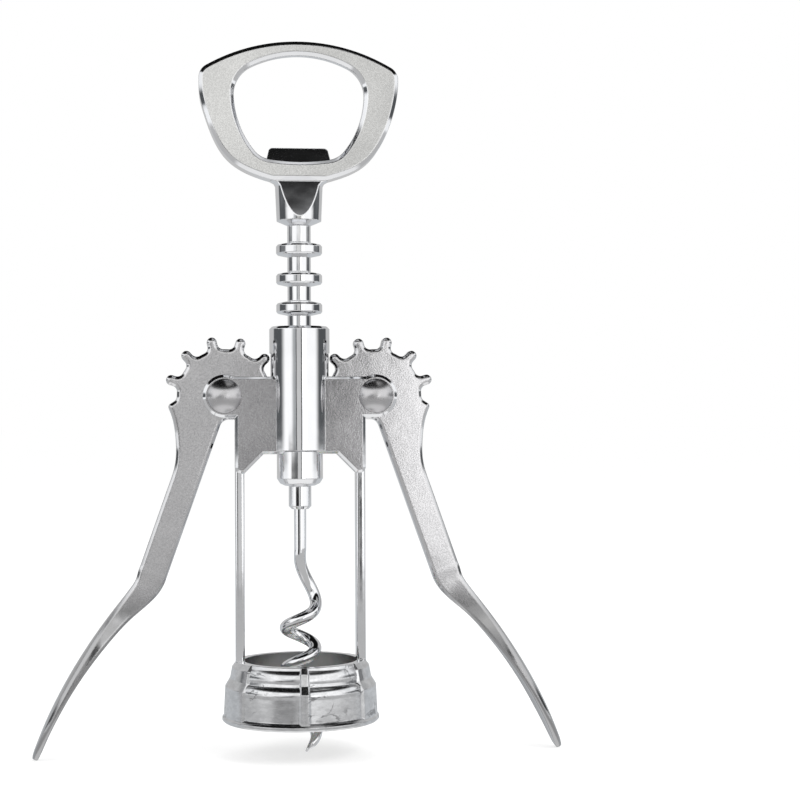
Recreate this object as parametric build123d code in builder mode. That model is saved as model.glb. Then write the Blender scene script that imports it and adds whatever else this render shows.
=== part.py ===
from build123d import *
import os
from math import asin, cos, degrees, pi, radians, sin, sqrt, tan

os.makedirs("parts", exist_ok=True)

# A wing corkscrew in millimetres, +Z up, -Y the front. The origin is the centre of the
# bell's mouth, on the axis of the worm. The levers spread along X.

# ---------------------------------------------------------------- clearances
running_fit = 0.05  # radial, a pin or shaft that turns in its bore
sliding_fit = 0.10  # radial, the rack in the barrel
side_gap = 0.30  # each face of a lever to the plate beside it
sweep_gap = 0.40  # the gear tips to whatever they sweep past
end_play = 0.10  # the rack between the handle and the ferrule
liner_gap = 0.05  # the liner in the bell, all round

# ---------------------------------------------------------------- rack and gears
rack_pitch = 7.0
collar_diameter = 11.0
collar_rim = 2.3  # height of a collar's cylindrical rim
collar_root = 3.5  # height of a collar where it meets the core
collar_edge = 0.35
core_diameter = 5.6
collars_above = 5  # whole collars above the pivots' height
collars_below = 1  # whole collars below it, above the plug
plug_length = 9.15
plug_nose_radius = 3.6
plug_cone_height = 0.9
plug_edge = 0.8
gear_teeth_per_turn = 12
tooth_addendum = 0.93
tooth_dedendum = 2.17
tooth_width = 2.4  # also across the round tip
gullet_radius = 1.45
tip_to_core = 0.9
mesh_play_angle = -2.2  # the teeth hang this far below the middle of the collar gaps
wheel_teeth = 7  # full teeth; the eighth is the shoulder of the arm

# ---------------------------------------------------------------- frame
pivot_height = 77.2
barrel_wall = 1.6
barrel_below_pivot = 13.0
barrel_above_pivot = 16.6
barrel_edge = 0.6
ear_radius = 5.1
web_rise = 4.6  # from the pivots up to the plates' upper edge
ear_fillet = 1.4
plate_thickness = 2.0
plate_bevel = 0.7
web_bottom_drop = 13.8  # from the pivots down to the plates' lower edge
gusset_size = 4.5  # 45 degree corner between a plate and a post
post_width = 2.2
post_depth = 5.0
post_edge = 0.7
post_outer = 15.5  # from the axis
post_root = 3.0  # how far a post reaches down into the bell

# ---------------------------------------------------------------- bell
bell_height = 14.25
bell_radius = 18.7
bead_height = 1.4
bead_proud = 0.35
bead_edge = 0.4
land_step = 0.6  # the lands stand this far out of the panels
lower_band_top = 8.35
lower_band_taper = 0.35
upper_band_bottom = 10.25
upper_band_top = 12.9
upper_band_radius = 16.85
upper_band_taper = 0.5
panel_taper = 0.25
shoulder_start = 7.2  # where the panels' lower wall begins to round over
shoulder_bulge = 0.35
crown_bulge = 0.25
top_ring_inner = 13.55
top_ring_outer = 15.3
narrow_land = 9.0  # degrees, the rib at the front and the back
wide_land = 80.0  # degrees, the pads under the posts
land_bevel = 0.55
liner_seat_height = 6.0
bell_wall = 1.95

# ---------------------------------------------------------------- bell liner
liner_rim = 0.3
liner_wall = 0.95
liner_floor = 4.5
liner_draft = 0.55  # the dish narrows by this much on its way to the floor
liner_corner = 1.0
liner_hole_diameter = 12.0

# ---------------------------------------------------------------- levers
lever_thickness = 4.0
lever_edge = 0.7
arm_lean = 19.5  # degrees from the vertical
arm_width = 6.8
arm_offset = 2.0  # the arm's middle line passes this far outside the pivot
knee_reach = 48.5  # along the arm's middle line
knee_radius = 10.0
knee_turn = 25.5
blade_radius = 109.0
blade_turn = 24.3
hub_drop = 5.6  # the hub's lower side below the pivot
hub_fillet = 2.0
shoulder_radius = 13.6  # the rounded corner where the teeth end and the arm begins
shoulder_drop_angle = 9.3
shoulder_edge = 0.9
waist_upper = (12.1, 5.8)  # outward and down from the pivot, under the shoulder
waist_lower = (11.45, 10.8)
waist_reach = 22.0  # along the arm, where its outer side becomes straight

# ---------------------------------------------------------------- rivets
rivet_diameter = 4.0
rivet_head_diameter = 8.2
rivet_head_height = 2.1
rivet_spigot_diameter = 2.6
rivet_spigot_length = 1.2

# ---------------------------------------------------------------- worm
wire_diameter = 2.9
worm_diameter = 10.0
worm_pitch = 9.8
worm_turns = 3.0
worm_low_turn = -2.6  # height of the lowest full-radius point, on +X
worm_tip_height = -7.2
worm_tip_diameter = 0.5
coil_end_angle = -50.0  # where the wire leaves the coil for the axis
bend_rise = 14.0  # from the coil's top turn to where the shaft is straight
bend_swing = 3.45  # height over the coil's top turn where the bend swings widest
bend_return = 6.0  # below the straight shaft, where the bend comes back over the axis
bend_settle = 2.9  # below the straight shaft, where the bend settles on the axis
socket_depth = 9.0  # the shaft's seat in the handle
ferrule_diameter = 5.4
ferrule_length = 5.5
ferrule_edge = 0.7

# ---------------------------------------------------------------- handle
handle_clearance = 5.8  # middle of the top collar to the handle
handle_thickness = 8.0
bow_height = 33.1  # from the top of the neck
bow_corner_x = 23.7
bow_corner_drop = 6.9  # below the top of the bow
bow_corner_lean = 4.5  # degrees, of the sides just below the corners
bow_waist_x = 22.6
bow_waist_rise = 16.2  # above the top of the neck
bow_hip_x = 17.7
bow_hip_rise = 5.9
bow_foot_x = 6.4
bow_foot_slope = 15.5  # degrees
bow_corner_edge = 3.4
ring_front_bevel = 0.9
ring_back_bevel = 1.7
window_back_bevel = 1.3  # across the back face
window_back_depth = 5.4  # along the window's wall
neck_top_diameter = 11.4
neck_bottom_diameter = 10.7
neck_height = 10.6
neck_cone_height = 1.1
neck_flare = 1.3
scoop_foot = 5.5  # from the axis, where the flats run out of the neck
scoop_bottom_rise = 1.4
window_bar = 3.4  # the bow above the window
window_corner_x = 15.2
window_corner_drop = 5.0
window_waist_x = 14.9
window_waist_rise = 15.5
window_foot_x = 9.2
window_foot_rise = 5.3
window_bottom_rise = 4.4
window_top_edge = 7.5
window_foot_edge = 5.5
lip_top_rise = 8.4
lip_half_width = 7.9
lip_top_half_width = 7.0
lip_edge = 1.0
lip_foot_thickness = 3.2
lip_top_thickness = 2.1

# ---------------------------------------------------------------- derived sizes
pitch_radius = rack_pitch * gear_teeth_per_turn / (2 * pi)
tip_radius = pitch_radius + tooth_addendum
root_radius = pitch_radius - tooth_dedendum
tooth_step = 360 / gear_teeth_per_turn
pivot_x = core_diameter / 2 + tip_to_core + tip_radius
bore_radius = collar_diameter / 2 + sliding_fit
barrel_radius = bore_radius + barrel_wall
barrel_bottom = pivot_height - barrel_below_pivot
barrel_top = pivot_height + barrel_above_pivot
web_top = pivot_height + web_rise
web_bottom = pivot_height - web_bottom_drop
ear_bottom = pivot_height - ear_radius
lever_slot = lever_thickness + 2 * side_gap
plate_face = lever_slot / 2 + plate_thickness
post_inner = post_outer - post_width
sweep_radius = tip_radius + sweep_gap
wire_radius = wire_diameter / 2
core_bore_radius = wire_radius + running_fit
plug_top = pivot_height - (collars_below + 1) * rack_pitch + collar_root / 2
plug_bottom = plug_top - plug_length
top_collar = pivot_height + collars_above * rack_pitch
handle_bottom = top_collar + handle_clearance
rack_top = handle_bottom - end_play
ferrule_top = plug_bottom - end_play
ferrule_bottom = ferrule_top - ferrule_length
neck_top = handle_bottom + neck_height
ring_back = handle_thickness / 2
scoop_bottom = handle_bottom + scoop_bottom_rise
bow_top = neck_top + bow_height
bow_corner_z = bow_top - bow_corner_drop
bow_waist_z = neck_top + bow_waist_rise
bow_hip_z = neck_top + bow_hip_rise
window_top = bow_top - window_bar
window_corner_z = window_top - window_corner_drop
window_waist_z = neck_top + window_waist_rise
window_foot_z = neck_top + window_foot_rise
window_bottom = neck_top + window_bottom_rise
lip_top = neck_top + lip_top_rise


def at_height(z):
    """Plane across the axis at height z."""
    return Plane.XY.offset(z)


# ---------------------------------------------------------------- frame: bell
def land(middle_angle, sweep):
    """A raised rib or pad of the bell, from its foot to the top ring."""
    start = middle_angle - sweep / 2
    section = Plane(origin=(0, 0, 0), x_dir=Vector(1, 0, 0).rotate(Axis.Z, start),
                    z_dir=Vector(0, -1, 0).rotate(Axis.Z, start))
    with BuildPart() as pad:
        with BuildSketch(section):
            with BuildLine():
                Polyline(
                    (top_ring_inner + 0.5, bead_height * 0.6),
                    (bell_radius - bead_proud, bead_height * 0.6),
                    (bell_radius - bead_proud - lower_band_taper, lower_band_top),
                    (upper_band_radius, upper_band_bottom),
                    (upper_band_radius - upper_band_taper, upper_band_top),
                    (top_ring_outer, bell_height),
                    (top_ring_inner + 0.5, bell_height),
                    close=True,
                )
            make_face()
        revolve(axis=Axis.Z, revolution_arc=sweep)
        ends = pad.faces().filter_by(GeomType.PLANE).filter_by(
            lambda face: abs(face.normal_at().Z) < 0.01)
        rims = [edge for edge in ends.edges()
                if edge.center().Z > bead_height and edge.center().Z < bell_height - 0.2
                and sqrt(edge.center().X ** 2 + edge.center().Y ** 2) > top_ring_inner + 1]
        chamfer(rims, land_bevel)
    return pad.part


bell_lands = [land(-90, narrow_land), land(90, narrow_land), land(0, wide_land), land(180, wide_land)]


# ---------------------------------------------------------------- frame: plates
def web_plate():
    """The front plate, which carries both pivots; the back one is its mirror."""
    with BuildPart() as plate:
        with BuildSketch(Plane.XZ.offset(lever_slot / 2)) as outline:
            with BuildLine():
                corner = Polyline(
                    (0, web_top), (pivot_x, web_top), (pivot_x, ear_bottom), (post_outer, ear_bottom),
                    (post_outer, web_bottom - gusset_size), (post_inner, web_bottom - gusset_size),
                    (post_inner - gusset_size, web_bottom), (0, web_bottom), close=True)
            make_face()
            with Locations((pivot_x, pivot_height)):
                Circle(ear_radius)
            inner_corner = outline.vertices().sort_by_distance(
                Vector(post_outer, -lever_slot / 2, ear_bottom))[0]
            fillet(inner_corner, ear_fillet)
            mirror(about=Plane.YZ)
        extrude(amount=plate_thickness)
        front = plate.faces().sort_by(Axis.Y)[0]
        chamfer(front.edges(), plate_bevel)
    return plate.part


front_plate = web_plate()
back_plate = mirror(front_plate, about=Plane.XZ)

# ---------------------------------------------------------------- frame: the casting
with BuildPart() as frame:
    # the bell's panels, turned all round
    with BuildSketch(Plane.XZ):
        with BuildLine():
            bead = Polyline((0, 0), (bell_radius - bead_edge, 0), (bell_radius, bead_edge),
                            (bell_radius, bead_height - bead_edge),
                            (bell_radius - bead_edge, bead_height))
            wall_radius = bell_radius - bead_proud - land_step
            neck_radius = upper_band_radius - land_step
            rim_radius = top_ring_outer - land_step / 3
            step = Line(bead @ 1, (wall_radius, bead_height + bead_edge))
            wall = Line(step @ 1, (wall_radius - panel_taper, shoulder_start))
            shoulder_end = (neck_radius + shoulder_bulge / 2, upper_band_bottom - shoulder_bulge)
            middle = (wall @ 1 + Vector(*shoulder_end)) / 2
            shoulder = ThreePointArc(wall @ 1, middle + Vector(shoulder_bulge, shoulder_bulge),
                                     shoulder_end)
            neck = Line(shoulder @ 1, (neck_radius, upper_band_bottom + shoulder_bulge))
            crown_end = (rim_radius + land_step / 2, upper_band_top + land_step)
            middle = (neck @ 1 + Vector(*crown_end)) / 2
            crown = ThreePointArc(neck @ 1, middle + Vector(crown_bulge, crown_bulge), crown_end)
            cove = Line(crown @ 1, (rim_radius, bell_height))
            Polyline(cove @ 1, (0, bell_height), (0, 0))
        make_face()
    revolve(axis=Axis.Z)
    for pad in bell_lands:
        add(pad)

    # posts, their heads still uncut
    post_foot = bell_height - post_root
    with BuildSketch(at_height(post_foot)):
        with Locations((post_outer - post_width / 2, 0), (-post_outer + post_width / 2, 0)):
            RectangleRounded(post_width, post_depth, post_edge)
    extrude(amount=web_bottom + 2 - post_foot)

    add(front_plate)
    add(back_plate)

    # barrel
    with BuildSketch(at_height(barrel_bottom)):
        Circle(barrel_radius)
    extrude(amount=barrel_top - barrel_bottom)
    barrel_rims = frame.edges().filter_by(GeomType.CIRCLE).filter_by(
        lambda edge: abs(edge.radius - barrel_radius) < 0.01).group_by(Axis.Z)
    chamfer(barrel_rims[-1], barrel_edge)

    # the bore, the levers' slot through the barrel and the sweep of the gears
    with BuildSketch(at_height(barrel_bottom - rack_pitch)):
        Circle(bore_radius)
    extrude(amount=barrel_top - barrel_bottom + 2 * rack_pitch, mode=Mode.SUBTRACT)
    slot_half_height = sqrt(sweep_radius ** 2 - (pivot_x - barrel_radius) ** 2) + 0.3
    with Locations((0, 0, pivot_height)):
        Box(2 * (barrel_radius + 0.5), lever_slot, 2 * slot_half_height, mode=Mode.SUBTRACT)
    for side in (-1, 1):
        with BuildSketch(Plane.XZ.offset(-lever_slot / 2)):
            with Locations((side * pivot_x, pivot_height)):
                Circle(sweep_radius)
        extrude(amount=lever_slot, mode=Mode.SUBTRACT)

    # rivet holes
    for side in (-1, 1):
        with BuildSketch(Plane.XZ.offset(-plate_face - 1)):
            with Locations((side * pivot_x, pivot_height)):
                Circle(rivet_diameter / 2)
        extrude(amount=2 * plate_face + 2, mode=Mode.SUBTRACT)

    # the cavity of the bell: the liner's seat, and a drafted throat above it
    liner_radius = bell_radius - bell_wall
    with BuildSketch(Plane.XZ):
        Polygon((0, -1), (liner_radius, -1), (liner_radius, liner_seat_height),
                (top_ring_inner + 1.0, liner_seat_height), (top_ring_inner, bell_height),
                (top_ring_inner, bell_height + 0.01), (0, bell_height + 0.01), align=None)
    revolve(axis=Axis.Z, mode=Mode.SUBTRACT)
frame.part.label = "frame"
export_step(frame.part, "parts/frame.step")


# ---------------------------------------------------------------- levers
def arm_point(along, outward):
    """A point of the left lever, from its pivot, in the arm's own directions."""
    lean = radians(arm_lean)
    return (-along * sin(lean) - outward * cos(lean), -along * cos(lean) + outward * sin(lean))


def blade_section(curve, share, width, thickness, crown, dish, edge):
    """Cross-section of a lever at a share of a curve: crowned outside, dished inside."""
    across = Plane(origin=curve @ share, x_dir=(0, -1, 0), z_dir=curve % share)
    with BuildSketch(across) as section:
        with BuildLine():
            side = width / 2
            outer = ThreePointArc((-side, thickness / 2 - crown), (0, thickness / 2),
                                  (side, thickness / 2 - crown))
            inner = ThreePointArc((side, -thickness / 2), (0, dish - thickness / 2),
                                  (-side, -thickness / 2))
            Line(outer @ 1, inner @ 0)
            Line(inner @ 1, outer @ 0)
        make_face()
        chamfer(section.vertices(), edge)
    return section.sketch


lever_plane = Plane(origin=(-pivot_x, 0, pivot_height), x_dir=(1, 0, 0), z_dir=(0, -1, 0))
arm_inner = arm_offset - arm_width / 2
arm_outer = arm_offset + arm_width / 2
knee_start = knee_reach - knee_radius * tan(radians(knee_turn / 2))
arm_end = knee_start - 2.0
first_tooth = mesh_play_angle - tooth_step / 2
shoulder_angle = radians(first_tooth + wheel_teeth * tooth_step)
hub_corner_along = (hub_drop + arm_inner * sin(radians(arm_lean))) / cos(radians(arm_lean))

with BuildLine(lever_plane):
    straight = Line(arm_point(arm_end, arm_offset), arm_point(knee_start, arm_offset))
    knee = JernArc(straight @ 1, straight % 1, knee_radius, -knee_turn)
    blade = JernArc(knee @ 1, knee % 1, blade_radius, blade_turn)

blade_shape = (
    # share of the blade's length, width, thickness, crown, dish, edge radius
    (0.12, 5.2, 4.7, 0.3, 0.1, 0.6),
    (0.30, 8.4, 3.8, 0.6, 0.4, 0.6),
    (0.50, 11.2, 3.1, 0.9, 0.7, 0.6),
    (0.65, 12.0, 2.7, 0.9, 0.8, 0.6),
    (0.80, 10.8, 2.35, 0.8, 0.6, 0.55),
    (0.92, 7.4, 2.0, 0.5, 0.3, 0.5),
    (0.98, 4.0, 1.7, 0.3, 0.1, 0.45),
    (1.00, 1.7, 1.2, 0.15, 0.02, 0.4),
)

with BuildPart() as lever_hub:
    with BuildSketch(lever_plane) as hub:
        tip_centre = tip_radius - tooth_width / 2
        tooth_foot = root_radius - 1.0
        gear_sweep = wheel_teeth * tooth_step
        Circle(root_radius)
        with PolarLocations(0, wheel_teeth, first_tooth, gear_sweep):
            Polygon((tooth_foot, -tooth_width / 2), (tip_centre, -tooth_width / 2),
                    (tip_centre, tooth_width / 2), (tooth_foot, tooth_width / 2), align=None)
        with PolarLocations(tip_centre, wheel_teeth, first_tooth, gear_sweep):
            Circle(tooth_width / 2)
        hub_corner = arm_point(hub_corner_along, arm_inner)
        Polygon(hub_corner, (2 * root_radius, -hub_drop), (2 * root_radius, -2 * root_radius),
                arm_point(2 * root_radius, arm_inner), align=None, mode=Mode.SUBTRACT)
        with BuildLine():
            shoulder_foot = (root_radius * cos(shoulder_angle - radians(9)),
                             root_radius * sin(shoulder_angle - radians(9)))
            shoulder = (-shoulder_radius * cos(radians(shoulder_drop_angle)),
                        -shoulder_radius * sin(radians(shoulder_drop_angle)))
            flank = Polyline((0, 0), shoulder_foot, shoulder)
            waist = Spline(flank @ 1, -1 * Vector(waist_upper), -1 * Vector(waist_lower),
                           arm_point(waist_reach, arm_outer),
                           tangents=((0.5, -1), (-sin(radians(arm_lean)), -cos(radians(arm_lean)))))
            Polyline(waist @ 1, arm_point(arm_end, arm_outer), arm_point(arm_end, arm_inner),
                     hub_corner, (0, 0))
        make_face()
        gullets = [corner for corner in hub.vertices()
                   if abs(sqrt(corner.X ** 2 + corner.Y ** 2) - root_radius) < 0.01
                   and corner.Y > gullet_radius + 0.1 - hub_drop]
        fillet(gullets, gullet_radius)
        hub_end = (sqrt(root_radius ** 2 - hub_drop ** 2), -hub_drop)
        fillet(hub.vertices().sort_by_distance(hub_end)[0], gullet_radius / 2)
        fillet(hub.vertices().sort_by_distance(hub_end)[2], gullet_radius / 3)
        fillet(hub.vertices().sort_by_distance(hub_corner)[0], hub_fillet)
        fillet(hub.vertices().sort_by_distance(shoulder)[0], shoulder_edge)
        Circle(rivet_diameter / 2 + running_fit, mode=Mode.SUBTRACT)
    extrude(amount=lever_thickness / 2, both=True)
    arm_tip = lever_plane.from_local_coords(arm_point(arm_end, arm_offset))
    rims = [edge for edge in lever_hub.edges()
            if abs(abs(edge.center().Y) - lever_thickness / 2) < 0.01
            and abs((edge.center() - lever_plane.origin).length) > rivet_diameter
            and abs((edge.center() - arm_tip).length) > arm_width / 2]
    chamfer(rims, lever_edge)

arm_section = (lever_thickness, arm_width, 0.01, 0.01, lever_edge)
neck_section = (lever_thickness, 0.93 * arm_width, 0.02, 0.01, lever_edge)
knee_section = (lever_thickness + 0.2, 0.86 * arm_width, 0.08, 0.02, lever_edge)
arm_end_face = lever_hub.faces().sort_by_distance(arm_tip)[0]
blade_sections = [
    blade_section(straight, 1, *arm_section),
    blade_section(knee, 0.5, *neck_section),
    blade_section(blade, 0, *knee_section),
]
blade_sections += [blade_section(blade, share, *shape) for share, *shape in blade_shape]
with BuildPart() as blade_body:
    add(arm_end_face)
    for section in blade_sections:
        add(section)
    loft()

with BuildPart() as left_lever:
    add(lever_hub.part)
    add(blade_body.part)
left_lever.part.label = "left_lever"
export_step(left_lever.part, "parts/left_lever.step")

with BuildPart() as right_lever:
    add(mirror(left_lever.part, about=Plane.YZ))
right_lever.part.label = "right_lever"
export_step(right_lever.part, "parts/right_lever.step")


# ---------------------------------------------------------------- rivets
dome_radius = (rivet_head_diameter ** 2 / 4 + rivet_head_height ** 2) / (2 * rivet_head_height)
dome_angle = degrees(asin(rivet_head_diameter / 2 / dome_radius))


def rivet_profile(plane, front, back, spigot):
    """Half section of a rivet about its own axis; x runs along the axis to the back."""
    with BuildSketch(plane) as section:
        with BuildLine():
            dome = CenterArc((dome_radius - front - rivet_head_height, 0), dome_radius, 180, -dome_angle)
            Polyline(dome @ 1, (-front, rivet_diameter / 2), (back, rivet_diameter / 2),
                     (back, rivet_spigot_diameter / 2), (back + spigot, rivet_spigot_diameter / 2),
                     (back + spigot, 0), dome @ 0)
        make_face()
    return section.sketch


def rivet(x):
    """Front head, shank and the spigot that the back head closes over."""
    middle = Plane(origin=(x, 0, pivot_height), x_dir=(0, 1, 0), z_dir=(1, 0, 0))
    with BuildPart() as pin:
        add(rivet_profile(middle, plate_face, plate_face, rivet_spigot_length))
        revolve(axis=Axis((x, 0, pivot_height), (0, 1, 0)))
    return pin.part


def rivet_cap(x):
    """Back head, hollow where the spigot goes in."""
    middle = Plane(origin=(x, 0, pivot_height), x_dir=(0, 1, 0), z_dir=(1, 0, 0))
    with BuildPart() as cap:
        with BuildSketch(middle):
            with BuildLine():
                dome_centre = plate_face + rivet_head_height - dome_radius
                dome = CenterArc((dome_centre, 0), dome_radius, 0, dome_angle)
                Polyline(dome @ 1, (plate_face, rivet_spigot_diameter / 2),
                         (plate_face + rivet_spigot_length, rivet_spigot_diameter / 2),
                         (plate_face + rivet_spigot_length, 0), dome @ 0)
            make_face()
        revolve(axis=Axis((x, 0, pivot_height), (0, 1, 0)))
    return cap.part


with BuildPart() as left_rivet:
    add(rivet(-pivot_x))
left_rivet.part.label = "left_rivet"
export_step(left_rivet.part, "parts/left_rivet.step")

with BuildPart() as left_rivet_cap:
    add(rivet_cap(-pivot_x))
left_rivet_cap.part.label = "left_rivet_cap"
export_step(left_rivet_cap.part, "parts/left_rivet_cap.step")

with BuildPart() as right_rivet:
    add(rivet(pivot_x))
right_rivet.part.label = "right_rivet"
export_step(right_rivet.part, "parts/right_rivet.step")

with BuildPart() as right_rivet_cap:
    add(rivet_cap(pivot_x))
right_rivet_cap.part.label = "right_rivet_cap"
export_step(right_rivet_cap.part, "parts/right_rivet_cap.step")

# ---------------------------------------------------------------- rack
with BuildPart() as rack_sleeve:
    with BuildSketch(Plane.XZ):
        core_radius = core_diameter / 2
        collar_radius = collar_diameter / 2
        Polygon((0, plug_bottom), (core_radius, plug_bottom), (core_radius, rack_top),
                (0, rack_top), align=None)
        for number in range(-collars_below, collars_above + 1):
            middle = pivot_height + number * rack_pitch
            with BuildSketch(mode=Mode.PRIVATE) as ring:
                Polygon((0, middle - collar_root / 2), (core_radius, middle - collar_root / 2),
                        (collar_radius, middle - collar_rim / 2),
                        (collar_radius, middle + collar_rim / 2),
                        (core_radius, middle + collar_root / 2), (0, middle + collar_root / 2),
                        align=None)
                chamfer(ring.vertices().group_by(Axis.X)[-1], collar_edge)
            add(ring.sketch)
        with BuildSketch(mode=Mode.PRIVATE) as plug:
            Polygon((0, plug_bottom), (plug_nose_radius, plug_bottom),
                    (collar_radius, plug_bottom + plug_cone_height),
                    (collar_radius, plug_top - (collar_root - collar_rim) / 2),
                    (core_radius, plug_top), (0, plug_top), align=None)
            rims = plug.vertices().group_by(Axis.X)[-1].sort_by(Axis.Y)
            chamfer(rims[0], plug_edge)
            chamfer(rims[1], collar_edge)
        add(plug.sketch)
        Polygon((0, plug_bottom - 1), (core_bore_radius, plug_bottom - 1),
                (core_bore_radius, rack_top + 1), (0, rack_top + 1), align=None, mode=Mode.SUBTRACT)
    revolve(axis=Axis.Z)
rack_sleeve.part.label = "rack_sleeve"
export_step(rack_sleeve.part, "parts/rack_sleeve.step")

# ---------------------------------------------------------------- worm
coil_radius = (worm_diameter - wire_diameter) / 2
coil_top = worm_low_turn + worm_turns * worm_pitch
bend_top = coil_top + bend_rise


def wire_section(curve, share, radius):
    """Round section of the wire across a curve."""
    with BuildSketch(Plane(origin=curve @ share, z_dir=curve % share)) as section:
        Circle(radius)
    return section.sketch


with BuildPart() as worm:
    # the coil, from the lowest full turn up to where it leaves for the axis
    with BuildLine():
        coil_rise = worm_turns * worm_pitch + worm_pitch * coil_end_angle / 360
        coil = Helix(pitch=worm_pitch, height=coil_rise, radius=coil_radius, center=(0, 0, worm_low_turn))
    add(wire_section(coil, 0, wire_radius))
    sweep(path=coil, is_frenet=True)

    # the bend that brings the wire back on the axis
    with BuildLine():
        bend = Bezier(coil @ 1, coil @ 1 + (coil % 1) * 0.97 * coil_radius,
                      (1.49 * coil_radius, 1.51 * coil_radius, coil_top + bend_swing),
                      (-0.45 * coil_radius, -0.15 * coil_radius, bend_top - bend_return),
                      (0, 0, bend_top - bend_settle), (0, 0, bend_top))
    add(wire_section(bend, 0, wire_radius))
    sweep(path=bend)

    # the straight shank, up through the rack into the handle
    with BuildSketch(at_height(bend_top)):
        Circle(wire_radius)
    extrude(amount=handle_bottom + socket_depth - bend_top)

    # the point
    with BuildLine():
        point = Spline(coil @ 0, (0.92 * coil_radius, -0.62 * coil_radius, worm_low_turn - 1.9),
                       (0.3 * coil_radius, -0.93 * coil_radius, worm_tip_height),
                       tangents=(-1 * (coil % 0), Vector(-0.6, -0.1, -1)))
    for share, radius in ((0, wire_radius), (0.3, 0.92 * wire_radius), (0.6, 0.68 * wire_radius),
                          (0.85, 0.36 * wire_radius), (1, worm_tip_diameter / 2)):
        add(wire_section(point, share, radius))
    loft()
worm.part.label = "worm"
export_step(worm.part, "parts/worm.step")

with BuildPart() as worm_ferrule:
    with BuildSketch(at_height(ferrule_bottom)):
        Circle(ferrule_diameter / 2)
    extrude(amount=ferrule_length)
    chamfer(worm_ferrule.edges().group_by(Axis.Z)[0], ferrule_edge)
    with BuildSketch(at_height(ferrule_bottom)):
        Circle(wire_radius)
    extrude(amount=ferrule_length, mode=Mode.SUBTRACT)
worm_ferrule.part.label = "worm_ferrule"
export_step(worm_ferrule.part, "parts/worm_ferrule.step")

# ---------------------------------------------------------------- bell liner
with BuildPart() as bell_liner:
    with BuildSketch(Plane.XZ) as liner_section:
        rim_radius = bell_radius - bell_wall - liner_gap
        dish_radius = rim_radius - liner_wall
        throat_radius = dish_radius - liner_draft
        Polygon((liner_hole_diameter / 2, liner_floor), (throat_radius, liner_floor),
                (dish_radius, liner_rim), (rim_radius, liner_rim),
                (rim_radius, liner_seat_height), (liner_hole_diameter / 2, liner_seat_height), align=None)
        corner = liner_section.vertices().sort_by_distance((throat_radius, liner_floor))[0]
        chamfer(corner, liner_corner)
    revolve(axis=Axis.Z)
bell_liner.part.label = "bell_liner"
export_step(bell_liner.part, "parts/bell_liner.step")

# ---------------------------------------------------------------- handle
with BuildPart() as neck:
    # round, with a shallow cone at its foot and flats cut in at the front and back
    with BuildSketch(Plane.XZ):
        with BuildLine():
            side = Polyline((0, handle_bottom), (core_diameter / 2, handle_bottom),
                            (neck_bottom_diameter / 2, handle_bottom + neck_cone_height),
                            (neck_top_diameter / 2, neck_top - neck_flare))
            Polyline(side @ 1, (neck_top_diameter / 2 + 0.3 * neck_flare, neck_top - 0.4 * neck_flare),
                     (neck_top_diameter / 2 + neck_flare, neck_top), (0, neck_top), (0, handle_bottom))
        make_face()
    revolve(axis=Axis.Z)
    for face, reach in ((-1, ring_back - ring_front_bevel), (1, ring_back)):
        with BuildSketch(Plane.YZ):
            beyond = 2 * neck_top_diameter
            Polygon((face * scoop_foot, scoop_bottom), (face * reach, neck_top - 0.1),
                    (face * reach, bow_hip_z), (face * beyond, bow_hip_z), (face * beyond, scoop_bottom),
                    align=None)
        extrude(amount=bow_corner_x, both=True, mode=Mode.SUBTRACT)

with BuildPart() as bow:
    with BuildSketch(Plane.XZ) as bow_outline:
        with BuildLine():
            top = ThreePointArc((-bow_corner_x, bow_corner_z), (0, bow_top), (bow_corner_x, bow_corner_z))
            lean = radians(bow_corner_lean)
            slope = radians(bow_foot_slope)
            Spline(top @ 1, (bow_waist_x, bow_waist_z), (bow_hip_x, bow_hip_z), (bow_foot_x, neck_top),
                   tangents=((sin(lean), -cos(lean)), (-cos(slope), -sin(slope))))
            Line((bow_foot_x, neck_top), (-bow_foot_x, neck_top))
            Spline((-bow_foot_x, neck_top), (-bow_hip_x, bow_hip_z), (-bow_waist_x, bow_waist_z), top @ 0,
                   tangents=((-cos(slope), sin(slope)), (sin(lean), cos(lean))))
        make_face()
        fillet(bow_outline.vertices().group_by(Axis.Y)[-1], bow_corner_edge)
        with BuildSketch(Plane.XY, mode=Mode.PRIVATE) as window:
            with BuildLine():
                over = ThreePointArc((-window_corner_x, window_corner_z), (0, window_top),
                                     (window_corner_x, window_corner_z))
                flank = ThreePointArc(over @ 1, (window_waist_x, window_waist_z),
                                      (window_foot_x, window_foot_z))
                under = ThreePointArc(flank @ 1, (0, window_bottom), (-window_foot_x, window_foot_z))
                ThreePointArc(under @ 1, (-window_waist_x, window_waist_z), over @ 0)
            make_face()
            fillet(window.vertices().group_by(Axis.Y)[-1], window_top_edge)
            fillet(window.vertices().filter_by(
                lambda corner: abs(corner.Y - window_foot_z) < 0.01), window_foot_edge)
        add(window.sketch, mode=Mode.SUBTRACT)
    extrude(amount=handle_thickness / 2, both=True)
    chamfer(bow.faces().sort_by(Axis.Y)[0].edges(), ring_front_bevel)
    back = bow.faces().sort_by(Axis.Y)[-1]
    chamfer(back.inner_wires().edges(), window_back_bevel, window_back_depth, reference=back)
    back = bow.faces().sort_by(Axis.Y)[-1]
    chamfer(back.outer_wire().edges(), ring_back_bevel)

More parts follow.
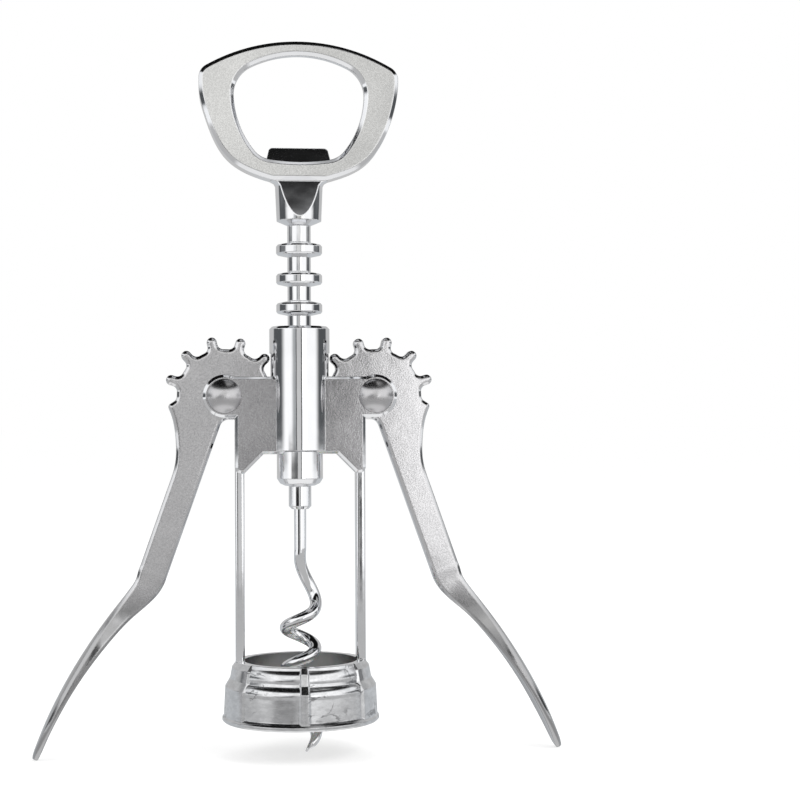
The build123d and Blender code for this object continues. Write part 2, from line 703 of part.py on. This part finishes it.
with BuildPart() as lip:
    # it lifts a cap; level with the back of the bow, its front leans back
    with BuildSketch(Plane.XZ.offset(-ring_back)) as lip_outline:
        Polygon((-lip_half_width, neck_top + lip_edge), (lip_half_width, neck_top + lip_edge),
                (lip_half_width, window_bottom), (lip_top_half_width, lip_top),
                (-lip_top_half_width, lip_top), (-lip_half_width, window_bottom), align=None)
        fillet(lip_outline.vertices().group_by(Axis.Y)[-1], lip_edge)
    extrude(amount=lip_foot_thickness)
    with BuildSketch(Plane.YZ):
        Polygon((ring_back - lip_foot_thickness, window_bottom), (ring_back - lip_top_thickness, lip_top),
                (ring_back - lip_top_thickness, lip_top + lip_edge),
                (ring_back - 2 * lip_foot_thickness, lip_top + lip_edge),
                (ring_back - 2 * lip_foot_thickness, window_bottom), align=None)
    extrude(amount=lip_half_width, both=True, mode=Mode.SUBTRACT)

with BuildPart() as handle:
    add(neck.part)
    add(bow.part)
    add(lip.part)
    # the seat of the worm's shaft
    with BuildSketch(at_height(handle_bottom)):
        Circle(wire_radius)
    extrude(amount=socket_depth, mode=Mode.SUBTRACT)
handle.part.label = "handle"
export_step(handle.part, "parts/handle.step")
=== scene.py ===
from collections import namedtuple
from math import pi, radians

import bmesh
import bpy
from bpy.props import FloatProperty, FloatVectorProperty, PointerProperty
from bpy.types import Operator, Panel, PropertyGroup
from mathutils import Matrix, Vector


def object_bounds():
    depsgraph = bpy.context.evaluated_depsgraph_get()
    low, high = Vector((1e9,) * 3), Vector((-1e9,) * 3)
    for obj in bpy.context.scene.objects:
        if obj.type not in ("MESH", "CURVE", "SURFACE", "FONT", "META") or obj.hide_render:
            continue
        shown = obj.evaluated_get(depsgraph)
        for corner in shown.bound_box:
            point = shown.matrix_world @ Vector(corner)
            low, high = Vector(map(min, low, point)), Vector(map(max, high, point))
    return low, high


bl_info = {
    "name": "Wing Corkscrew",
    "version": (1, 0, 0),
    "blender": (4, 5, 0),
    "location": "3D View > Sidebar > Corkscrew",
    "description": "Dresses a wing corkscrew's frame, levers, rack, worm and handle, and its studio",
    "category": "Object",
}

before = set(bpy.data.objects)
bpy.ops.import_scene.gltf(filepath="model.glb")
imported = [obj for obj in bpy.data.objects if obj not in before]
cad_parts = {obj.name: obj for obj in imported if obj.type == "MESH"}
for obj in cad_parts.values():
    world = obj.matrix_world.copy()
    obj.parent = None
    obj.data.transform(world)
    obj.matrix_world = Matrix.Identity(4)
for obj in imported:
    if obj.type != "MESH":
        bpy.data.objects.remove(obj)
CAD_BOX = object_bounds()
MM = 0.001

WHITE = (1, 1, 1, 1)
FLOOR_HEIGHT = CAD_BOX[0][2]
MIDDLE_HEIGHT = (CAD_BOX[0][2] + CAD_BOX[1][2]) / 2

# ---------------------------------------------------------------- where a finish changes
SATIN_FACING = (0.985, 0.998)  # how squarely a face looks forwards or back, from bright to satin
PLATE_DEPTHS = (4.1 * MM, 4.4 * MM)  # the plates' outer faces lie between these depths
BELL_HEIGHTS = (-1.0 * MM, 14.2 * MM)
BELL_THROAT = 14.58 * MM
BELL_REACH = 30 * MM
BLADE_HEIGHTS = (-30 * MM, 30 * MM)
BLADE_REACH = (20 * MM, 120 * MM)
KNEE_LENGTH = 12 * MM  # over which the arm's finish passes into the blade's
SHARP_EDGE = 0.02 * MM

# ---------------------------------------------------------------- sizes inside the finishes
GRAINS_TO_A_CLOUD = 40  # the slow clouds in the plating are this many grains wide
SATIN_SPREAD = 0.02  # how far the satin's roughness strays to either side
FLOW_WAVE = 9 * MM
FLOW_PATCH = 7 * MM  # the places where a casting has flow marks
FLOW_SQUASH = 2.2  # how much flatter than wide the flow marks lie
MOTTLE = 3 * MM
LINER_CLOUD = 4 * MM
LINER_PIT = 0.25 * MM
LINER_PIT_DEPTH = 0.01 * MM
LINER_GLOW_DEPTH = 0.5 * MM  # how deep light goes into the plastic

# ---------------------------------------------------------------- duller zones, and painted shade in the bell's throat
# a ring round the axis with its soft edge, its share of the brightness, the roughness that it
# adds and the darkness of its flow marks
Zone = namedtuple("Zone", "heights radii edge brightness added_roughness marks")
BRUSHED_BLADES = Zone(BLADE_HEIGHTS, BLADE_REACH, KNEE_LENGTH, 0.62, 0.02, 0.0)
CAST_OUTSIDE = Zone(BELL_HEIGHTS, (BELL_THROAT, BELL_REACH), SHARP_EDGE, 0.96, 0.11, 0.6)
# painted shade: the inside of the bell's throat is darkened to 0.45 of its brightness, and made rougher
PAINTED_SHADE_THROAT = Zone(BELL_HEIGHTS, (0.0, BELL_THROAT), SHARP_EDGE, 0.45, 0.25, 0.0)

# ---------------------------------------------------------------- the reflector cards
# bearings from the front towards +X and elevations, in degrees, the soft edges of both,
# the card's brightness and its tint; a later card covers an earlier one
Card = namedtuple("Card", "bearings elevations edges level tint")
NEUTRAL = (1.0, 1.0, 1.0)
ALL_ROUND = (-180, 180)
TENT_CARDS = (
    Card(ALL_ROUND, (30, 42), (5, 3), 0.022, NEUTRAL),  # the ceiling's edge
    Card(ALL_ROUND, (-12, 34), (5, 4), 0.10, (0.90, 0.95, 1.0)),  # the room round the tent
    Card((118, 242), (-12, 40), (8, 6), 0.55, NEUTRAL),  # the wall behind
    Card(ALL_ROUND, (-90, -5), (5, 3), 0.50, NEUTRAL),  # the table
    Card((95, 265), (-40, -4), (12, 3), 0.60, (0.94, 0.97, 1.0)),  # its far half
    Card(ALL_ROUND, (-90, -48), (5, 9), 0.90, NEUTRAL),  # the table under the object
    Card((-106, 106), (10, 36), (14, 8), 1.00, (0.98, 0.99, 1.0)),  # white flats, high up
    Card((-106, 106), (-7.5, -2), (14, 2), 1.00, (0.98, 0.99, 1.0)),  # and low down
    Card((-68, 68), (-7, 8), (24, 3), 1.12, NEUTRAL),  # the soft box in front
    Card((-74, 74), (6, 34), (12, 4), 1.12, NEUTRAL),  # its upper half
    Card((-30, -10), (-3, 8), (14, 4), 0.45, (0.95, 0.98, 1.0)),  # its dim end beside the gap
    Card((-46, -10), (-8, -2), (10, 3), 0.02, NEUTRAL),  # the dark below that
    Card((4, 24), (-7.5, 8), (2, 2), 1.50, NEUTRAL),  # its bright end on the right
    Card((-17, 6.8), (-8.5, 8), (1.5, 2), 0.05, NEUTRAL),  # dark seams of the gap
    Card((-14, 2.6), (-8.5, 8), (1.5, 2), 0.60, NEUTRAL),  # the gap in the middle
    Card((-14, 13), (8, 24), (3, 3), 0.72, (1.0, 1.0, 0.985)),  # a veil above the gap
    Card((-14, 3), (8, 24), (6, 3), 0.92, (1.0, 1.0, 0.985)),  # brighter on the left
    Card((20, 80), (55, 80), (8, 8), 0.40, NEUTRAL),  # a lamp in the dark ceiling
)
TENT_DARK = 0.006

# ---------------------------------------------------------------- the lights
# places and sizes in metres, power in watts
Light = namedtuple("Light", "name place size power")
STUDIO_LIGHTS = (
    Light("key_light", (0.35, -0.45, 0.55), 0.35, 2.2),
    Light("fill_light", (-0.55, -0.25, 0.45), 0.45, 1.2),
    Light("rear_light", (0.05, 0.55, 0.5), 0.4, 1.0),
)
LIGHT_TARGET = (0, 0, 0.08)
SENSOR_WIDTH = 36  # in millimetres, as the camera's own setting has it


# ---------------------------------------------------------------- settings
class PlatingSettings(PropertyGroup):
    polished_colour: FloatVectorProperty(
        name="Polished Colour", description="Reflectance of the polished plating",
        subtype="COLOR", size=4, min=0, max=1, default=(0.88, 0.885, 0.90, 1))
    lever_colour: FloatVectorProperty(
        name="Lever Colour", description="Reflectance of the levers' edges and blades",
        subtype="COLOR", size=4, min=0, max=1, default=(0.78, 0.78, 0.79, 1))
    rivet_colour: FloatVectorProperty(
        name="Rivet Colour", description="Reflectance of the rivets' heads",
        subtype="COLOR", size=4, min=0, max=1, default=(0.60, 0.595, 0.605, 1))
    frame_satin_colour: FloatVectorProperty(
        name="Frame Satin Colour", description="Reflectance of the frame's flat faces",
        subtype="COLOR", size=4, min=0, max=1, default=(0.58, 0.575, 0.585, 1))
    lever_satin_colour: FloatVectorProperty(
        name="Lever Satin Colour", description="Reflectance of the levers' flat faces",
        subtype="COLOR", size=4, min=0, max=1, default=(0.72, 0.715, 0.725, 1))
    handle_satin_colour: FloatVectorProperty(
        name="Handle Satin Colour", description="Reflectance of the handle's flat faces",
        subtype="COLOR", size=4, min=0, max=1, default=(0.77, 0.77, 0.765, 1))
    polished_roughness: FloatProperty(
        name="Polished Roughness", description="Roughness of the polished plating",
        subtype="FACTOR", min=0, max=1, default=0.06)
    lever_roughness: FloatProperty(
        name="Lever Roughness", description="Roughness of the levers' edges and blades",
        subtype="FACTOR", min=0, max=1, default=0.09)
    rivet_roughness: FloatProperty(
        name="Rivet Roughness", description="Roughness of the rivets' heads, which are only tumbled",
        subtype="FACTOR", min=0, max=1, default=0.24)
    satin_roughness: FloatProperty(
        name="Satin Roughness", description="Roughness of the flat satin faces",
        subtype="FACTOR", min=0, max=1, default=0.15)
    edge_softness: FloatProperty(
        name="Edge Softness", description="Radius by which polishing has rounded most edges",
        unit="LENGTH", min=0, max=0.005, default=0.25 * MM)
    handle_edge_softness: FloatProperty(
        name="Handle Edge Softness", description="Radius by which polishing has rounded the handle's edges",
        unit="LENGTH", min=0, max=0.005, default=0.4 * MM)
    lever_edge_softness: FloatProperty(
        name="Lever Edge Softness", description="Radius by which tumbling has rounded the levers' edges",
        unit="LENGTH", min=0, max=0.005, default=0.7 * MM)
    grain_size: FloatProperty(
        name="Grain Size", description="Width of the satin faces' grain",
        unit="LENGTH", min=0.00001, max=0.01, default=0.30 * MM)
    grain_depth: FloatProperty(
        name="Grain Depth", description="Height of the satin faces' grain",
        unit="LENGTH", min=0, max=0.001, default=0.010 * MM)
    ripple_size: FloatProperty(
        name="Ripple Size", description="Width of the slow waves left by polishing",
        unit="LENGTH", min=0.0001, max=0.1, default=5.0 * MM)
    ripple_depth: FloatProperty(
        name="Ripple Depth", description="Height of the slow waves left by polishing",
        unit="LENGTH", min=0, max=0.001, default=0.03 * MM)


class LinerSettings(PropertyGroup):
    colour: FloatVectorProperty(
        name="Colour", description="Colour of the moulded liner",
        subtype="COLOR", size=4, min=0, max=1, default=(0.86, 0.86, 0.83, 1))
    roughness: FloatProperty(
        name="Roughness", description="Roughness of the moulded liner",
        subtype="FACTOR", min=0, max=1, default=0.38)


class StudioSettings(PropertyGroup):
    floor_radius: FloatProperty(
        name="Floor Radius", description="Radius of the floor",
        unit="LENGTH", min=0.1, max=100, default=12.0)
    sky_light: FloatProperty(
        name="Sky Light", description="Strength of the even light on diffuse surfaces",
        min=0, max=5, default=0.9)
    shadow_share: FloatProperty(
        name="Shadow Share", description="Share of the floor's white that the object can shade",
        subtype="FACTOR", min=0, max=1, default=0.42)
    tent_radius: FloatProperty(
        name="Tent Radius", description="Radius of the tent of reflector cards round the object",
        unit="LENGTH", min=0.2, max=5, default=0.9)
    lens: FloatProperty(
        name="Lens", description="Focal length of the camera",
        unit="CAMERA", min=10, max=500, default=78.75)
    camera_place: FloatVectorProperty(
        name="Camera Place", description="Where the camera stands",
        subtype="TRANSLATION", unit="LENGTH", default=(-22.7 * MM, -419.4 * MM, 71.4 * MM))
    camera_turn: FloatProperty(
        name="Camera Turn", description="Turn to the right of the Y axis",
        unit="ROTATION", default=radians(6.38))
    camera_tilt: FloatProperty(
        name="Camera Tilt", description="Tilt above the horizon",
        unit="ROTATION", default=radians(0.65))
    camera_roll: FloatProperty(
        name="Camera Roll", description="Roll about the line of sight",
        unit="ROTATION", default=radians(-0.27))


# ---------------------------------------------------------------- shader helpers
def new_material(name):
    """A new material without nodes, and its tree."""
    material = bpy.data.materials.new(name)
    material.use_nodes = True
    tree = material.node_tree
    tree.nodes.clear()
    return material, tree


def add_node(tree, kind, **settings):
    """A shader node with its settings; inputs are given by name or as socket links."""
    node = tree.nodes.new(kind)
    inputs = settings.pop("inputs", {})
    for name, value in settings.items():
        setattr(node, name, value)
    for name, value in inputs.items():
        if isinstance(value, bpy.types.NodeSocket):
            tree.links.new(value, node.inputs[name])
        else:
            node.inputs[name].default_value = value
    return node


def calculate(tree, operation, first, second=0.0, third=0.0):
    """A Math node on two or three sockets or numbers."""
    return add_node(tree, "ShaderNodeMath", operation=operation,
                    inputs={0: first, 1: second, 2: third}).outputs[0]


def grey(level):
    """A colour of one level in all its channels."""
    return (level, level, level, 1)


def remap(tree, value, low, high, to_low=0.0, to_high=1.0):
    """Maps low..high to to_low..to_high with soft ends."""
    node = add_node(tree, "ShaderNodeMapRange", interpolation_type="SMOOTHSTEP",
                    inputs={"Value": value, "From Min": low, "From Max": high,
                            "To Min": to_low, "To Max": to_high})
    return node.outputs["Result"]


def mix_colours(tree, share, first, second, blend="MIX"):
    """Mixes two colours by a share."""
    node = add_node(tree, "ShaderNodeMix", data_type="RGBA", blend_type=blend)
    for index, value in ((0, share), (6, first), (7, second)):
        if isinstance(value, bpy.types.NodeSocket):
            tree.links.new(value, node.inputs[index])
        else:
            node.inputs[index].default_value = value
    return node.outputs[2]


def noise(tree, place, size, detail=2.0, roughness=0.5, distortion=0.0):
    """Noise whose patches are about size across, in metres."""
    return add_node(tree, "ShaderNodeTexNoise",
                    inputs={"Vector": place, "Scale": 1 / size, "Detail": detail,
                            "Roughness": roughness, "Distortion": distortion}).outputs["Fac"]


def soft_span(tree, value, span, edge):
    """One within a span, falling to nought over a soft edge."""
    half = (span[1] - span[0]) / 2
    away = calculate(tree, "ABSOLUTE", calculate(tree, "SUBTRACT", value, sum(span) / 2))
    return remap(tree, away, half + edge / 2, half - edge / 2)


def finish_material(tree, shader):
    """Links a shader to the material's output."""
    output = add_node(tree, "ShaderNodeOutputMaterial")
    tree.links.new(shader, output.inputs["Surface"])


# ---------------------------------------------------------------- materials
def flow_marks(tree, here):
    """A casting's dark wavy flow marks, which come in a few places, over a faint mottling."""
    squashed = add_node(tree, "ShaderNodeMapping",
                        inputs={"Vector": here, "Scale": (1.0, 1.0, FLOW_SQUASH)}).outputs[0]
    waves = noise(tree, squashed, FLOW_WAVE, 4.0, 0.6, 0.8)
    away = calculate(tree, "ABSOLUTE", calculate(tree, "SUBTRACT", waves, 0.5))
    places = remap(tree, noise(tree, here, FLOW_PATCH, 1.0), 0.52, 0.64)
    line = calculate(tree, "MULTIPLY", remap(tree, away, 0.040, 0.006), places)
    mottling = remap(tree, noise(tree, squashed, MOTTLE, 5.0, 0.65), 0.35, 0.62, 0.0, 0.28)
    return calculate(tree, "MAXIMUM", line, mottling)


def dull_zones(tree, here, colour, roughness, zones):
    """Dulls a colour and adds to a roughness in rings round the axis."""
    axes = add_node(tree, "ShaderNodeSeparateXYZ", inputs={0: here}).outputs
    plan = add_node(tree, "ShaderNodeCombineXYZ", inputs={"X": axes["X"], "Y": axes["Y"]}).outputs[0]
    away = add_node(tree, "ShaderNodeVectorMath", operation="LENGTH", inputs={0: plan}).outputs["Value"]
    for zone in zones:
        share = calculate(tree, "MULTIPLY", soft_span(tree, axes["Z"], zone.heights, zone.edge),
                          soft_span(tree, away, zone.radii, zone.edge))
        dull = mix_colours(tree, share, WHITE, grey(zone.brightness))
        if zone.marks:
            mark = calculate(tree, "MULTIPLY", flow_marks(tree, here), share)
            clean = calculate(tree, "MULTIPLY_ADD", mark, -zone.marks, 1.0)
            dull = mix_colours(tree, 1.0, dull, clean, blend="MULTIPLY")
        colour = mix_colours(tree, 1.0, colour, dull, blend="MULTIPLY")
        roughness = calculate(tree, "MULTIPLY_ADD", share, zone.added_roughness, roughness)
    return colour, roughness


def plated_metal(name, plating, bright=None, satin=None, satin_depths=None, polish=None,
                 softness=None, zones=()):
    """Bright plating; where satin is a colour, flat front and back faces are satin and grained.

    satin_depths keeps the satin to faces between two distances from the middle plane.
    polish is the roughness of the rest, softness the radius of its edges, nought for none.
    zones are duller rings round the axis.
    """
    material, tree = new_material(name)
    place = add_node(tree, "ShaderNodeTexCoord")
    here = place.outputs["Object"]
    facing = add_node(tree, "ShaderNodeSeparateXYZ", inputs={0: place.outputs["Normal"]}).outputs["Y"]
    flat = remap(tree, calculate(tree, "ABSOLUTE", facing), *SATIN_FACING) if satin else 0.0
    if satin_depths is not None:
        across = add_node(tree, "ShaderNodeSeparateXYZ", inputs={0: here}).outputs["Y"]
        depth = calculate(tree, "ABSOLUTE", across)
        flat = calculate(tree, "MULTIPLY", flat, soft_span(tree, depth, satin_depths, SHARP_EDGE))

    grain = noise(tree, here, plating.grain_size, 2.0, 0.6)
    cloud = noise(tree, here, GRAINS_TO_A_CLOUD * plating.grain_size, 3.0, 0.5)
    ripple = noise(tree, here, plating.ripple_size, 1.5, 0.4)

    speckle = remap(tree, grain, 0.3, 0.7, 0.87, 1.09)
    patches = remap(tree, cloud, 0.3, 0.7, 0.95, 1.03)
    shade = calculate(tree, "MULTIPLY_ADD", calculate(tree, "SUBTRACT", speckle, 1.0), flat, patches)
    colour = mix_colours(tree, flat, bright or plating.polished_colour, satin or plating.polished_colour)
    colour = mix_colours(tree, 1.0, colour, shade, blend="MULTIPLY")

    rub = remap(tree, cloud, 0.35, 0.65, 0.8, 1.25)
    polished_roughness = calculate(tree, "MULTIPLY", rub, polish or plating.polished_roughness)
    satin_roughness = remap(tree, cloud, 0.3, 0.7, plating.satin_roughness - SATIN_SPREAD,
                            plating.satin_roughness + SATIN_SPREAD)
    gap = calculate(tree, "SUBTRACT", satin_roughness, polished_roughness)
    roughness = calculate(tree, "MULTIPLY_ADD", gap, flat, polished_roughness)
    if zones:
        colour, roughness = dull_zones(tree, here, colour, roughness, zones)

    waves = add_node(tree, "ShaderNodeBump", inputs={
        "Strength": 1.0, "Distance": plating.ripple_depth, "Height": ripple})
    if softness != 0:
        worn = add_node(tree, "ShaderNodeBevel", samples=12,
                        inputs={"Radius": softness or plating.edge_softness})
        tree.links.new(worn.outputs["Normal"], waves.inputs["Normal"])
    relief = add_node(tree, "ShaderNodeBump", inputs={
        "Strength": 1.0, "Distance": plating.grain_depth,
        "Height": calculate(tree, "MULTIPLY", grain, flat), "Normal": waves.outputs["Normal"]})
    shader = add_node(tree, "ShaderNodeBsdfPrincipled", inputs={
        "Base Color": colour, "Metallic": 1.0, "Roughness": roughness,
        "Normal": relief.outputs["Normal"]})
    finish_material(tree, shader.outputs[0])
    return material


def moulded_plastic(name, liner):
    """Pale moulded plastic with a faint cloud in its colour and fine pits."""
    material, tree = new_material(name)
    here = add_node(tree, "ShaderNodeTexCoord").outputs["Object"]
    cloud = noise(tree, here, LINER_CLOUD, 3.0)
    pits = noise(tree, here, LINER_PIT, 2.0)
    darker = tuple(0.93 * channel for channel in liner.colour[:3]) + (1,)
    colour = mix_colours(tree, remap(tree, cloud, 0.35, 0.65), darker, liner.colour)
    roughness = remap(tree, cloud, 0.3, 0.7, liner.roughness - 0.06, liner.roughness + 0.08)
    relief = add_node(tree, "ShaderNodeBump", inputs={
        "Strength": 1.0, "Distance": LINER_PIT_DEPTH, "Height": pits})
    shader = add_node(tree, "ShaderNodeBsdfPrincipled", inputs={
        "Base Color": colour, "Roughness": roughness, "Normal": relief.outputs["Normal"],
        "Subsurface Weight": 0.15, "Subsurface Scale": LINER_GLOW_DEPTH})
    finish_material(tree, shader.outputs[0])
    return material


def dress(node, material):
    """Gives a carried-over node its finish."""
    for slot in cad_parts[node].material_slots:
        slot.material = material


def plating_of(context):
    """The scene's plating settings."""
    return context.scene.corkscrew_plating


# ---------------------------------------------------------------- operators: the pieces
class FinishFrame(Operator):
    """Finishes the cast frame: satin plates, polished barrel, posts and bell"""
    bl_idname = "corkscrew.finish_frame"
    bl_label = "Frame Casting"

    def execute(self, context):
        plating = plating_of(context)
        dress("frame", plated_metal("frame_plating", plating, satin=plating.frame_satin_colour,
                                    satin_depths=PLATE_DEPTHS,
                                    # the second zone is painted shade inside the bell's throat
                                    zones=(CAST_OUTSIDE, PAINTED_SHADE_THROAT)))
        return {"FINISHED"}


class FinishLevers(Operator):
    """Finishes both levers: satin faces with polished edges and blades"""
    bl_idname = "corkscrew.finish_levers"
    bl_label = "Levers"

    def execute(self, context):
        plating = plating_of(context)
        material = plated_metal("lever_plating", plating, bright=plating.lever_colour,
                                satin=plating.lever_satin_colour, polish=plating.lever_roughness,
                                softness=plating.lever_edge_softness, zones=(BRUSHED_BLADES,))
        for side in ("left", "right"):
            dress(f"{side}_lever", material)
        return {"FINISHED"}


class FinishRivets(Operator):
    """Finishes the rivets and the heads that close them"""
    bl_idname = "corkscrew.finish_rivets"
    bl_label = "Rivets"

    def execute(self, context):
        plating = plating_of(context)
        material = plated_metal("rivet_plating", plating, bright=plating.rivet_colour,
                                polish=plating.rivet_roughness)
        for side in ("left", "right"):
            dress(f"{side}_rivet", material)
            dress(f"{side}_rivet_cap", material)
        return {"FINISHED"}


class FinishRack(Operator):
    """Finishes the ringed rack and the ferrule under it"""
    bl_idname = "corkscrew.finish_rack"
    bl_label = "Rack"

    def execute(self, context):
        plating = plating_of(context)
        material = plated_metal("rack_plating", plating)
        dress("rack_sleeve", material)
        dress("worm_ferrule", material)
        return {"FINISHED"}


class FinishWorm(Operator):
    """Finishes the worm's wire"""
    bl_idname = "corkscrew.finish_worm"
    bl_label = "Worm"

    def execute(self, context):
        plating = plating_of(context)
        dress("worm", plated_metal("worm_plating", plating, softness=0))
        return {"FINISHED"}


class FinishHandle(Operator):
    """Finishes the handle: satin bow, polished neck and lip"""
    bl_idname = "corkscrew.finish_handle"
    bl_label = "Handle"

    def execute(self, context):
        plating = plating_of(context)
        dress("handle", plated_metal("handle_plating", plating, satin=plating.handle_satin_colour,
                                     softness=plating.handle_edge_softness))
        return {"FINISHED"}


class FinishLiner(Operator):
    """Finishes the moulded liner in the bell"""
    bl_idname = "corkscrew.finish_liner"
    bl_label = "Bell Liner"

    def execute(self, context):
        dress("bell_liner", moulded_plastic("liner_moulding", context.scene.corkscrew_liner))
        return {"FINISHED"}


# ---------------------------------------------------------------- operator: the stage
def any_seen_ray(tree):
    """One for rays that show the background: camera, glossy and transmitted ones."""
    path = add_node(tree, "ShaderNodeLightPath")
    seen = calculate(tree, "MAXIMUM", path.outputs["Is Camera Ray"], path.outputs["Is Glossy Ray"])
    return calculate(tree, "MAXIMUM", seen, path.outputs["Is Transmission Ray"])


def white_world(studio):
    """White where it is seen, a plain even light elsewhere."""
    world = bpy.data.worlds.new("studio_white")
    world.use_nodes = True
    tree = world.node_tree
    tree.nodes.clear()
    seen = any_seen_ray(tree)
    strength = calculate(tree, "MULTIPLY_ADD", seen, 1 - studio.sky_light, studio.sky_light)
    background = add_node(tree, "ShaderNodeBackground", inputs={
        "Color": WHITE, "Strength": strength})
    output = add_node(tree, "ShaderNodeOutputWorld")
    tree.links.new(background.outputs[0], output.inputs["Surface"])
    return world


def floor_material(studio):
    """White paper that keeps part of its shadow."""
    material, tree = new_material("white_paper")
    share = studio.shadow_share
    paper = add_node(tree, "ShaderNodeBsdfDiffuse", inputs={"Color": grey(share)})
    glow = calculate(tree, "MULTIPLY", any_seen_ray(tree), 1 - share * studio.sky_light)
    lift = add_node(tree, "ShaderNodeEmission", inputs={"Color": WHITE, "Strength": glow})
    both = add_node(tree, "ShaderNodeAddShader", inputs={0: paper.outputs[0], 1: lift.outputs[0]})
    finish_material(tree, both.outputs[0])
    return material


def stage_mesh(name, build, material):
    """A stage object from a bmesh builder."""
    mesh = bpy.data.meshes.new(name)
    shape = bmesh.new()
    build(shape)
    shape.to_mesh(mesh)
    shape.free()
    mesh.materials.append(material)
    piece = bpy.data.objects.new(name, mesh)
    bpy.context.scene.collection.objects.link(piece)
    return piece


def only_in_reflections(piece):
    """The piece shows in polished surfaces alone and lights or shades nothing else."""
    piece.visible_camera = False
    piece.visible_diffuse = False
    piece.visible_shadow = False
    piece.visible_transmission = False
    piece.visible_volume_scatter = False


def tent_material():
    """Reflector cards in a dark room, as soft patches by bearing and elevation."""
    material, tree = new_material("reflector_cards")
    here = add_node(tree, "ShaderNodeTexCoord").outputs["Object"]
    aim = add_node(tree, "ShaderNodeVectorMath", operation="NORMALIZE", inputs={0: here}).outputs[0]
    axes = add_node(tree, "ShaderNodeSeparateXYZ", inputs={0: aim}).outputs
    towards_front = calculate(tree, "MULTIPLY", axes["Y"], -1.0)
    bearing = calculate(tree, "DEGREES", calculate(tree, "ARCTAN2", axes["X"], towards_front))
    behind = calculate(tree, "WRAP", bearing, 360.0, 0.0)
    elevation = calculate(tree, "DEGREES", calculate(tree, "ARCSINE", axes["Z"]))
    colour = grey(TENT_DARK)
    for card in TENT_CARDS:
        place = behind if card.bearings[1] > 180 else bearing
        across = 1.0
        if card.bearings != ALL_ROUND:
            across = soft_span(tree, place, card.bearings, card.edges[0])
        up = soft_span(tree, elevation, card.elevations, card.edges[1])
        paint = tuple(card.level * channel for channel in card.tint) + (1,)
        colour = mix_colours(tree, calculate(tree, "MULTIPLY", across, up), colour, paint)
    glow = add_node(tree, "ShaderNodeEmission", inputs={"Color": colour, "Strength": 1.0})
    finish_material(tree, glow.outputs[0])
    return material


def place_light(light):
    """A round area light that shows in no reflection."""
    source = bpy.data.lights.new(light.name, "AREA")
    source.shape = "DISK"
    source.size = light.size
    source.energy = light.power
    lamp = bpy.data.objects.new(light.name, source)
    lamp.visible_glossy = False
    lamp.location = light.place
    aim = Vector(LIGHT_TARGET) - lamp.location
    lamp.rotation_euler = aim.to_track_quat("-Z", "Y").to_euler()
    bpy.context.scene.collection.objects.link(lamp)


def place_camera(studio):
    """The camera, turned, tilted and rolled where it stands."""
    lens = bpy.data.cameras.new("camera")
    lens.lens = studio.lens
    lens.sensor_width = SENSOR_WIDTH
    camera = bpy.data.objects.new("camera", lens)
    camera.matrix_world = (
        Matrix.Translation(studio.camera_place)
        @ Matrix.Rotation(-studio.camera_turn, 4, "Z")
        @ Matrix.Rotation(pi / 2 + studio.camera_tilt, 4, "X")
        @ Matrix.Rotation(studio.camera_roll, 4, "Z"))
    bpy.context.scene.collection.objects.link(camera)
    return camera


class BuildStage(Operator):
    """Builds the floor, the reflector cards, the lights and the camera"""
    bl_idname = "corkscrew.build_stage"
    bl_label = "Studio"

    def execute(self, context):
        studio = context.scene.corkscrew_studio
        scene = context.scene
        scene.world = white_world(studio)
        scene.view_settings.view_transform = "Standard"

        def disc(shape):
            bmesh.ops.create_circle(shape, cap_ends=True, segments=64, radius=studio.floor_radius,
                                    matrix=Matrix.Translation((0, 0, FLOOR_HEIGHT)))
        floor = stage_mesh("floor", disc, floor_material(studio))
        floor.visible_glossy = False

        def tent(shape):
            bmesh.ops.create_icosphere(shape, subdivisions=5, radius=studio.tent_radius)
        cards = stage_mesh("reflector_cards", tent, tent_material())
        cards.location = (0, 0, MIDDLE_HEIGHT)
        only_in_reflections(cards)

        for light in STUDIO_LIGHTS:
            place_light(light)
        scene.camera = place_camera(studio)
        return {"FINISHED"}


# ---------------------------------------------------------------- panel and registration
OPERATORS = (FinishFrame, FinishLevers, FinishRivets, FinishRack, FinishWorm, FinishHandle,
             FinishLiner, BuildStage)


class CorkscrewPanel(Panel):
    """Lists the corkscrew's pieces and settings"""
    bl_idname = "VIEW3D_PT_corkscrew"
    bl_label = "Wing Corkscrew"
    bl_space_type = "VIEW_3D"
    bl_region_type = "UI"
    bl_category = "Corkscrew"

    def draw(self, context):
        column = self.layout.column()
        for settings in (context.scene.corkscrew_plating, context.scene.corkscrew_liner,
                         context.scene.corkscrew_studio):
            for name in settings.__annotations__:
                column.prop(settings, name)
        for operator in OPERATORS:
            column.operator(operator.bl_idname)


CLASSES = (PlatingSettings, LinerSettings, StudioSettings) + OPERATORS + (CorkscrewPanel,)


def register():
    for cls in CLASSES:
        bpy.utils.register_class(cls)
    bpy.types.Scene.corkscrew_plating = PointerProperty(type=PlatingSettings)
    bpy.types.Scene.corkscrew_liner = PointerProperty(type=LinerSettings)
    bpy.types.Scene.corkscrew_studio = PointerProperty(type=StudioSettings)


def unregister():
    del bpy.types.Scene.corkscrew_studio
    del bpy.types.Scene.corkscrew_liner
    del bpy.types.Scene.corkscrew_plating
    for cls in reversed(CLASSES):
        bpy.utils.unregister_class(cls)


def main():
    register()
    bpy.ops.corkscrew.finish_frame()
    bpy.ops.corkscrew.finish_levers()
    bpy.ops.corkscrew.finish_rivets()
    bpy.ops.corkscrew.finish_rack()
    bpy.ops.corkscrew.finish_worm()
    bpy.ops.corkscrew.finish_handle()
    bpy.ops.corkscrew.finish_liner()
    bpy.ops.corkscrew.build_stage()


if __name__ == "__main__":
    main()
